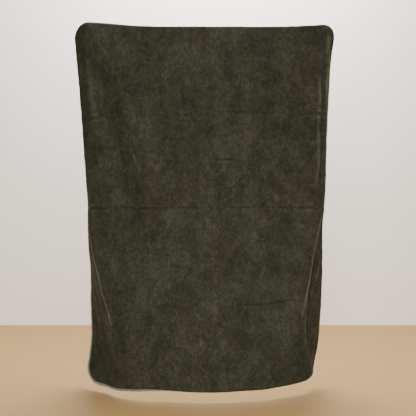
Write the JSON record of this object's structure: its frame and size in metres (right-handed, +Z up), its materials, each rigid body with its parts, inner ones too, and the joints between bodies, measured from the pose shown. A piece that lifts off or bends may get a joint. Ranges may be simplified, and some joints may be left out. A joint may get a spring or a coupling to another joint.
{
  "type": "camp blanket",
  "caption": "Rectangular two-layer blanket with a fleece face, a woven back and a taped edge, hanging from its two top corners with its sides turned back.",
  "frame": {"origin": "middle of the top edge, where the two hands or clips that hold the corners carry it", "axes": "+Z up along the blanket's length, +X to the right seen from the fleece side, +Y to the back, so the fleece face looks to -Y"},
  "size_m": [1.4536, 0.289, 2.0368],
  "materials": {
    "fleece": "matt pile",
    "canvas": "matt plain weave",
    "tape": "matt twill tape",
    "thread": "semi-matt thread",
    "label": "smooth woven label"
  },
  "bodies": {
    "upper": {"fleece_upper": "fleece", "canvas_upper": "canvas", "binding_upper": "tape", "front_thread_upper": "thread", "back_thread_upper": "thread"},
    "lower": {"fleece_lower": "fleece", "canvas_lower": "canvas", "binding_lower": "tape", "front_thread_lower": "thread", "back_thread_lower": "thread", "care_label": "label"}
  },
  "joints": [
    {"name": "fold", "type": "hinge", "parent": "upper", "child": "lower", "pos_m": [0, -0.066, -1], "axis": [-1, 0, 0], "range_deg": [0, 178]}
  ]
}
